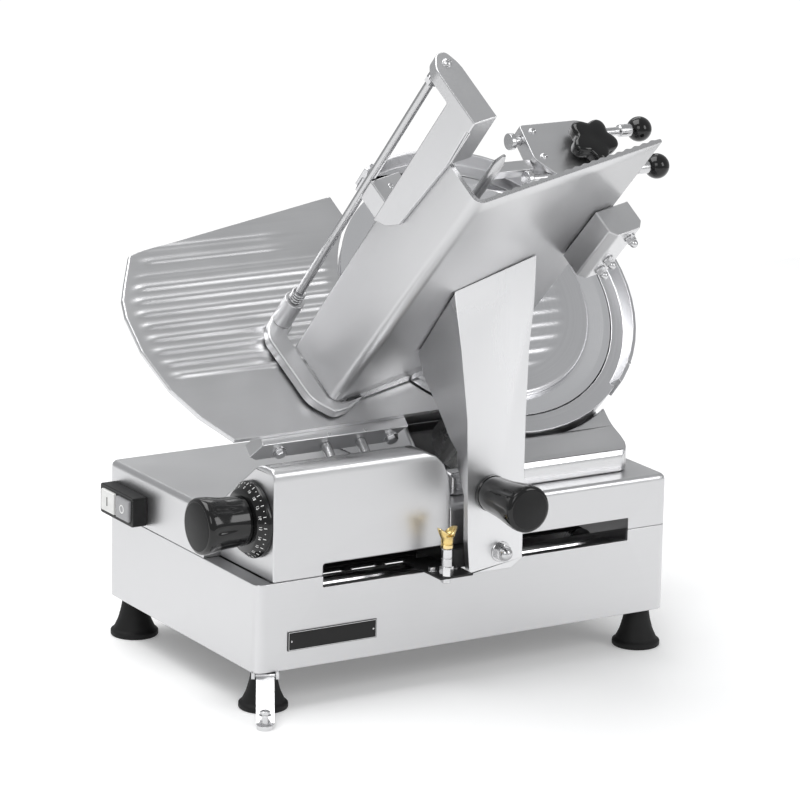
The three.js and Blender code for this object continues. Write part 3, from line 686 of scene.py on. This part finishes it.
def reach(line, s):
    for (x0, s0), (x1, s1) in zip(line, line[1:]):
        if s1 <= s <= s0 or s0 <= s <= s1:
            return x0 + (x1 - x0) * (0 if s0 == s1 else (s - s0) / (s1 - s0))
    return line[-1][0]


def rib_wave(offset, pitch, sharp=1.6):
    """Height share of a row of smooth ridges, 1 on each crest."""
    return (0.5 + 0.5 * math.cos(2 * math.pi * offset / pitch)) ** sharp


def gauge_mesh():
    thick, edge = 6.0, 1.6
    levels = sorted({148.9, 149.4, -148, -147.7} | {s for _, s in PLATE_LEFT + PLATE_RIGHT}
                    | {149 - 1.375 * k for k in range(217)}, reverse=True)
    rows = [s for i, s in enumerate(levels) if i == 0 or levels[i - 1] - s > 0.25]
    shares = [0, 0.0009, 0.002, 0.0045, 0.009] + [0.018 + 0.964 * k / 74 for k in range(75)] + [0.991,
        0.9955, 0.998, 0.9991, 1]
    bm = bmesh.new()
    top, under = [], []
    for s in rows:
        x0, x1 = reach(PLATE_LEFT, s), reach(PLATE_RIGHT, s)
        line, back = [], []
        for share in shares:
            x = x0 + (x1 - x0) * share
            away = min(x - x0, x1 - x, (s + 148) + 0.6, 149.4 - s)
            drop = edge - math.sqrt(max(0.0, edge ** 2 - (edge - min(edge, away)) ** 2))
            hub = math.hypot(x, s)
            field = smoothstep(x0 + 8, x0 + 26, x) * smoothstep(172, 190, hub) * smoothstep(-66, -60, s)
            tall = smoothstep(76, 66, s) if s > 66 else 1.0
            short = smoothstep(82, 88, s) * smoothstep(112, 106, s) * smoothstep(-400, -380,
                x) * smoothstep(-200, -240, x)
            rise = 1.9 * rib_wave(s - 72.5, 16.5) * max(field * (tall if s < 80.5 else 0), 0.7 * short)
            line.append(bm.verts.new((x, s, rise - drop)))
            back.append(bm.verts.new((x, s, -thick + drop * 0.6)))
        top.append(line)
        under.append(back)
    for i in range(len(rows) - 1):
        for k in range(len(shares) - 1):
            bm.faces.new((top[i][k], top[i + 1][k], top[i + 1][k + 1], top[i][k + 1]))
            bm.faces.new((under[i][k + 1], under[i + 1][k + 1], under[i + 1][k], under[i][k]))
        bm.faces.new((top[i][0], under[i][0], under[i + 1][0], top[i + 1][0]))
        bm.faces.new((top[i + 1][-1], under[i + 1][-1], under[i][-1], top[i][-1]))
    for k in range(len(shares) - 1):
        bm.faces.new((top[0][k + 1], under[0][k + 1], under[0][k], top[0][k]))
        bm.faces.new((top[-1][k], under[-1][k], under[-1][k + 1], top[-1][k + 1]))
    return to_mesh(bm)


piece("gauge_sheet", shaded(gauge_mesh(), 60), DISC, "gauge", sheet_gauge,
    ["gauge_plate"])
eased_node("gauge_bracket_casting", "gauge_bracket", "gauge", cast_disc, 1.2)
for side_name in ("left", "right"):
    piece("gauge_post_bar_" + side_name, softened("gauge_post_" + side_name, 0.4, 2), CASING, "gauge",
        rod_steel,
          ["gauge_post_" + side_name])
fasteners("gauge_set_screws", set_screw(), [((x, -152.6, -6.6), (0, 0, 1), 0.8) for x in (-253, -207)],
    DISC, "gauge")
fasteners("gauge_bolts", hex_bolt(), [((x, -156, h), (0, -1, 0), 1.15) for x, h in ((-311, -22),
    (-169, -24))],
          DISC, "gauge")

# ---- blade, cover and ring guard ----
eased_node("ring_casting", "ring_guard", "base", turned_ring, 1.0)
piece("blade_steel_disc", shaded(to_mesh(turned([
    (18, -9), (140, -9), (152, -5), (164.6, -0.8), (165, -0.4), (164.8, 0), (157, 0), (156.2, -0.2),
        (141.5, -5.3),
    (140.5, -5.5), (18, -5.5), (18, -9)], 180)), 22), DISC, "blade", blade_edge, ["blade"])


def cover_mesh():
    bm = bmesh.new()
    reaches = [138 * math.sqrt(k / 46) for k in range(1, 44)] + [134.6, 136.4, 137.5, 138]
    rings = []
    steps = 144
    for r in reaches:
        ring = []
        for k in range(steps):
            a = 2 * math.pi * k / steps
            x, s = r * math.cos(a), r * math.sin(a)
            drop = 0 if r < 135 else 2.2 * ((r - 134.6) / 3.4) ** 2
            rise = 2.2 * rib_wave(s, 16.5, 1.4) * smoothstep(112, 96, math.hypot(x, s))
            ring.append(bm.verts.new((x, s, 1 + rise - drop)))
        rings.append(ring)
    hub = bm.verts.new((0, 0, 3.2))
    for k in range(steps):
        bm.faces.new((hub, rings[0][k], rings[0][(k + 1) % steps]))
    for inner, outer in zip(rings, rings[1:]):
        for k in range(steps):
            n = (k + 1) % steps
            bm.faces.new((inner[k], outer[k], outer[n], inner[n]))
    low = [bm.verts.new((v.co.x, v.co.y, -5.2)) for v in rings[-1]]
    foot = bm.verts.new((0, 0, -5.2))
    for k in range(steps):
        n = (k + 1) % steps
        bm.faces.new((rings[-1][k], low[k], low[n], rings[-1][n]))
        bm.faces.new((low[n], low[k], foot))
    return to_mesh(bm)


cover_bolt = to_mesh(turned([(0, -76), (7.2, -76), (7.2, -69), (4, -69), (4, -5), (0, -5)], 36))
piece("blade_cover_plate", shaded(joined(cover_mesh(), cover_bolt), 50), DISC, "base", turned_cover,
      ["blade_cover"])
RING_SCREW_CIRCLE = 189.3
fasteners("ring_screws", socket_screw(),
    [((RING_SCREW_CIRCLE * math.cos(rad(a)), RING_SCREW_CIRCLE * math.sin(rad(a)), 13.2), (0, 0, 1), 0.55)
                                          for a in (-41, 8, 60, 112)], DISC, "base")

# ---- sharpener ----
eased_node("sharpener_arm", "sharpener_bar", "base", cast_disc, 0.8)
eased_node("sharpener_body", "sharpener_block", "base", cast_disc, 1.2)
fasteners("sharpener_screws", dome_screw(), [((140, 186, 37), (0, 0, 1), 1.0), ((140, 150, 37), (0, 0, 1),
    1.0)],
          DISC, "base")


def lobed(a, r, z):
    reach_out = 0.5 + 0.5 * math.cos(5 * (a - rad(54)))
    return r * (0.86 + 0.31 * smoothstep(8, 22, r) * reach_out ** 0.8), z


star_side = [(0, 37.3), (5.6, 37.3), (5.8, 42), (16, 42), (22, 42.4), (24.8, 43.6), (26, 45.6),
    (26.4, 48), (26.4, 54),
             (26.1, 56.6), (24.8, 58.8), (22.4, 60.2), (18, 60.8), (12, 60.9), (7, 60.6), (0, 60.2)]
piece("star_knob_grip", shaded(to_mesh(turned(star_side, 120, lobed)), 40),
      DISC @ Matrix.Translation((202, 154, 0)), "star_knob", phenolic, ["star_knob"])
for which, s in (("upper", 181.7), ("lower", 127.7)):
    at = DISC @ Matrix.Translation((0, s, 26)) @ Matrix.Rotation(rad(90), 4, "Y")
    ball = [(15 * math.sin(rad(k)), 292.6 - 15 * math.cos(rad(k))) for k in range(30, 181, 6)]
    piece("lever_ball_" + which, shaded(to_mesh(turned([(0, 279.6)] + ball, 64))), at,
        "sharpener_lever_" + which,
          phenolic, ["sharpener_lever_" + which])
    stem = arcs([(0, 110.2), (10, 110.2), (10, 116.8), (5, 117), (5, 262), (7.5, 264), (7.5, 279.5),
        (6.8, 280.4), (0, 280.4)],
                {1: 0.8, 2: 0.8, 5: 1, 6: 1})
    piece("lever_stem_" + which, shaded(to_mesh(turned(stem, 48))), at, "sharpener_lever_" + which,
        steel_bits)

# ---- carriage ----
piece("arm_casting", softened("carriage_arm", 1.4, 4, rounds=[
    (lambda m, d: m.y < -20 and m.x < 262 and m.z < 440 and abs(d.z) > 20, 6.5)]),
    CASING, "carriage", cast_arm, ["carriage_arm"])
eased_node("rail_block", "carriage_block", "carriage", black_parts, 0.8)


def nut_shape(a, r, z):
    return (hexed(a, 17), z) if r == 8.5 else (r, z)


nut_dome = [(7.8 * math.sin(rad(k)), 35.4 + 7.6 * math.cos(rad(k))) for k in (0, 15, 30, 45, 60, 75, 88)]
piece("arm_acorn_nut", shaded(to_mesh(turned(
    nut_dome + [(7.9, 34), (8.5, 33.2), (8.5, 27), (11.2, 27), (11.6, 26.6), (11.6, 25.3), (5, 25.3),
        (5, -7.5), (0, -7.5)],
    72, nut_shape)), 28), NUT, "carriage", steel_bits, ["arm_nut"])
lock_back = [(6, 13), (6, 25.4), (19.2, 25.4), (20.2, 26), (20.2, 29.4), (19.4, 30)]
lock = [(0, 13)] + lock_back
for k in range(1, 17):
    t = k / 16
    lock.append((20 + 3.4 * t + 2.6 * smoothstep(0.35, 1, t), 30.5 + 63 * t))
lock += [(26, 97.5), (25.6, 100), (24.8, 101.6), (23.2, 102.7), (21.6, 103), (0, 103)]
piece("lock_knob_grip", shaded(to_mesh(turned(lock, 144, fluted(36, 95, 1.6))), 50), LOCK, "lock_knob",
    phenolic,
      ["lock_knob"])
piece("lock_knob_face", shaded(to_mesh(turned([(0, 102.8), (21.4, 102.8), (21.6, 103.1), (21.3, 103.3),
    (0, 103.3)], 96))),
      LOCK, "lock_knob", knob_face)

eased_node("plunger_bracket", "plunger_plate", "carriage", black_parts, 0.5)
PLUNGER = CASING @ Matrix.Translation((217.5, -31, 0))


def sleeve_shape(a, r, z):
    return (hexed(a, 13), z) if r == 6.5 else (r, z)


piece("plunger_sleeve_nut", shaded(to_mesh(turned([
    (3.3, 89.8), (6.5, 89.8), (6.5, 99.6), (6.1, 100), (5.9, 101), (6, 102), (6, 108.6), (5.5, 109),
        (5.5, 110),
    (6, 110.4), (6, 119), (5.5, 119.8), (3.3, 119.8), (3.3, 89.8)], 72, sleeve_shape)), 28), PLUNGER,
        "carriage",
    steel_bits, ["plunger_sleeve"])


def crown(a, r, z):
    wing = abs(math.cos(a)) ** 1.5
    if z > 134:
        return r * (0.62 + 0.4 * wing), z - (z - 134) * 0.75 * (1 - wing)
    return r, z


piece("plunger_crown", shaded(to_mesh(turned([
    (0, 96), (3, 96), (3, 120.4), (6.2, 120.4), (6.8, 121), (6.8, 124.4), (6.1, 125), (6.1, 126),
        (6.8, 126.6),
    (6.8, 131.6), (7.6, 132.8), (8.2, 134), (9.6, 137), (10.8, 140.6), (11.5, 143.4), (11.0, 144),
        (9.4, 143.6),
    (7.4, 139), (5.4, 135.6), (3, 134.4), (0, 134.2)], 72, crown)), 34), PLUNGER, "plunger", brass,
        ["plunger"])
fasteners("plunger_nuts", hex_bolt(), [
    ((217.5, -31, 86.9), (0, 0, -1), 0.95), ((213, -10, 89.6), (0, 0, 1), 0.75),
        ((240, -10, 89.6), (0, 0, 1), 0.75)],
    CASING, "carriage")

# ---- food tray, pusher and slide rod ----
def tray_mesh():
    flat, fold, lip = [], [], []
    for k in range(0, 121):
        u = -12 - 240 * k / 120
        rise = 1.5 * rib_wave(u + 20, 12, 1.2) * smoothstep(-248, -236, u) * smoothstep(-12, -17, u)
        flat.append((u, -68 + rise))
    for k in range(1, 9):
        a = rad(90 * k / 8)
        fold.append((-256 - 7 * math.sin(a), -61 - 7 * math.cos(a)))
    wall = [(-263, 4), (-263.6, 6), (-265.5, 7), (-267.4, 6), (-268, 4)]
    for k in range(0, 9):
        a = rad(90 * k / 8)
        lip.append((-268 + 12 * (1 - math.cos(a)), -61 - 12 * math.sin(a)))
    side = [(-8.4, -68.4)] + flat + fold + wall + lip + [(-9, -73), (-8.2, -72.2), (-8, -70.6), (-8, -69.4)]
    bm = bmesh.new()
    rows = []
    for h in [17, 17.6] + [17 + 387 * k / 20 for k in range(1, 20)] + [404.2, 405]:
        inset = 0.6 if h in (17, 405) else 0
        row = []
        for u, v in side:
            low = v - SLOPE * h * smoothstep(-20, -50, v)
            row.append(bm.verts.new((u,
                low - (inset if v > -69 and u > -262 else -inset if v < -72 else 0) * 0.7, h)))
        rows.append(row)
    count = len(side)
    for a, b in zip(rows, rows[1:]):
        for k in range(count):
            n = (k + 1) % count
            bm.faces.new((a[k], a[n], b[n], b[k]))
    bm.faces.new(rows[0])
    bm.faces.new(list(reversed(rows[-1])))
    return to_mesh(bm)


apron = bmesh.new()
prism([(-250, -73), (-8, -73), (-8, -68), (-250, -68)], 3.5, 17.4, apron)
for v in apron.verts:
    v.co.y -= SLOPE * v.co.z
block(-266, -233, -71, -42, 20, 32, apron)
piece("tray_sheet", joined(shaded(tray_mesh(), 48), eased(to_mesh(apron), 0.6, 2)), TROUGH, "carriage",
    sheet_tray,
      ["tray"])
eased_node("guide_bar", "guide_rod", "carriage", rod_steel, 0.4, 2)
eased_node("pusher_casting", "pusher", "pusher", cast_tray, 1.4)
eased_node("bracket_casting", "tray_bracket", "carriage", cast_tray, 1.6, 4)
eased_node("end_guard_casting", "end_guard", "carriage", cast_tray, 2.2, 4)
eased_node("rod_socket_tube", "rod_socket", "carriage", cast_tray, 0.9)
eased_node("slide_bar", "slide_rod", "carriage", rod_steel, 0.5, 2)
eased_node("rod_arm_casting", "rod_arm", "carriage", cast_tray, 1.4, 4)
eased_node("rod_block_casting", "rod_block", "carriage", cast_tray, 1.6, 4)
coil = spring_tree().run(bpy.data.meshes.new("none"), {
    "Turns": 3.5, "Coil": 6.9, "Wire": 1.1, "Rise": 13.6, "Finish": rod_steel})
piece("buffer_coil", shaded(coil, 50), TROUGH @ Matrix.Translation((-262, 42, 56.3)), "carriage", rod_steel,
      ["buffer_spring"])
fasteners("tray_studs", acorn_nut(), [
    ((u, -109.6 - SLOPE * h, h), (0, -1, 0), 1.0) for u, h in ((-14, 212), (-14, 232), (-4, 270))],
        TROUGH, "carriage")
fasteners("rod_arm_screws", dome_screw(), [((-256, 41, 480), (0, 0, 1), 1.2)], TROUGH, "carriage")
fasteners("rod_set_screws", set_screw(), [
    ((-248, 24, 285), (0, 0, 1), 1.1), ((-242.1, 10, 471), (1, 0, 0), 0.9)], TROUGH, "carriage")
rod_nut = to_mesh(turned([(4.9, 450), (7, 450), (7, 457), (4.9, 457), (4.9, 450)], 36,
                         lambda a, r, z: (hexed(a, 13), z) if r == 7 else (r, z)))
piece("slide_rod_nut", shaded(rod_nut, 28), TROUGH @ Matrix.Translation((-262, 42, 0)), "carriage",
    steel_bits)

# ---- prop leg ----
eased_node("prop_strap", "prop_leg", "prop_leg", steel_bits, 0.5, 2)
fasteners("prop_nut", hex_bolt(), [((-13, -44, -30), (0, 0, 1), 0.9)], CASING, "prop_leg")

# ---- nodes kept as they are, with finishes of their own ----
KEPT = {
    "bottom_plate": black_parts, "blade_bearing": cast_disc, "blade_motor": cast_flat,
        "carriage_motor": motor_grey,
    "carriage_rail": steel_bits, "gauge_rail": steel_bits, "gauge_slide_block": black_parts,
        "dial_shaft": steel_bits,
    "blade_belt": belting, "carriage_belt": belting, "carriage_pulley": steel_bits,
        "idler_pulley": steel_bits,
    "motor_pulley": steel_bits, "blade_pulley": steel_bits, "blade_hub": steel_bits,
}
for node, finish in KEPT.items():
    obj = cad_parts[node]
    if not obj.material_slots:
        obj.data.materials.append(finish)
    for entry in obj.material_slots:
        entry.material = finish

# ---- floor, light and camera ----
floor_paint = Paint("floor_white")
grain = floor_paint.noise(floor_paint.place(), 3.0, 2.0)
floor_finish = floor_paint.done(
    Base_Color=floor_paint.mix(grain, grey(0.88), grey(0.92)), Roughness=0.7, Specular_IOR_Level=0.1,
    Emission_Color=(1, 1, 1, 1), Emission_Strength=0.2)
FLOOR_SIDE, FLOOR_BACK = 2.2, 1.5
floor_mesh = bpy.data.meshes.new("floor")
floor_mesh.from_pydata([(-FLOOR_SIDE, -FLOOR_SIDE, 0), (FLOOR_SIDE, -FLOOR_SIDE, 0),
    (FLOOR_SIDE, FLOOR_BACK, 0), (-FLOOR_SIDE, FLOOR_BACK, 0)], [], [(0, 1, 2, 3)])
floor_mesh.materials.append(floor_finish)
floor = bpy.data.objects.new("floor", floor_mesh)
bpy.context.collection.objects.link(floor)

bpy.context.scene.view_settings.view_transform = "Standard"
world = bpy.data.worlds.new("studio")
bpy.context.scene.world = world
world.use_nodes = True
nodes, links = world.node_tree.nodes, world.node_tree.links
nodes.clear()
seen = nodes.new("ShaderNodeLightPath")
near = nodes.new("ShaderNodeBackground")
near.inputs["Color"].default_value = (0.8, 0.81, 0.82, 1)
near.inputs["Strength"].default_value = 0.58
wall = nodes.new("ShaderNodeBackground")
wall.inputs["Color"].default_value = (1, 1, 1, 1)
wall.inputs["Strength"].default_value = 1.05
blend = nodes.new("ShaderNodeMixShader")
out = nodes.new("ShaderNodeOutputWorld")
links.new(seen.outputs["Is Camera Ray"], blend.inputs[0])
links.new(near.outputs[0], blend.inputs[1])
links.new(wall.outputs[0], blend.inputs[2])
links.new(blend.outputs[0], out.inputs["Surface"])


def softbox(name, at, target, width, height, power):
    lamp = bpy.data.lights.new(name, "AREA")
    lamp.shape, lamp.size, lamp.size_y, lamp.energy = "RECTANGLE", width, height, power
    obj = bpy.data.objects.new(name, lamp)
    obj.location = at
    obj.rotation_euler = (Vector(target) - Vector(at)).to_track_quat("-Z", "Y").to_euler()
    bpy.context.collection.objects.link(obj)


softbox("overhead", (-0.7, 0.5, 2.9), (0, 0, 0.3), 2.4, 2.0, 60)
softbox("front_left", (-2.0, -2.6, 2.2), (0, 0, 0.3), 1.6, 1.6, 22)
softbox("front_right", (1.7, -2.6, 1.7), (0, 0, 0.3), 1.0, 1.6, 20)
softbox("back", (0.9, 2.2, 2.4), (0, 0, 0.3), 1.8, 1.0, 10)

CAMERA_AT = (-2.55785, -4.01761, 1.5131)
LENS_MM, SENSOR_MM = 200.25, 36
turn_z, lift, roll = rad(-31.408), rad(14.406), rad(1.133)
back = Vector((math.sin(turn_z) * math.cos(lift), -math.cos(turn_z) * math.cos(lift), math.sin(lift)))
right = Vector((math.cos(turn_z), math.sin(turn_z), 0))
up = back.cross(right)
right, up = right * math.cos(roll) + up * math.sin(roll), up * math.cos(roll) - right * math.sin(roll)
lens = bpy.data.cameras.new("camera")
lens.lens, lens.sensor_width, lens.clip_end = LENS_MM, SENSOR_MM, 100
camera = bpy.data.objects.new("camera", lens)
camera.matrix_world = Matrix.Translation(CAMERA_AT) @ Matrix((right, up, back)).transposed().to_4x4()
bpy.context.collection.objects.link(camera)
bpy.context.scene.camera = camera
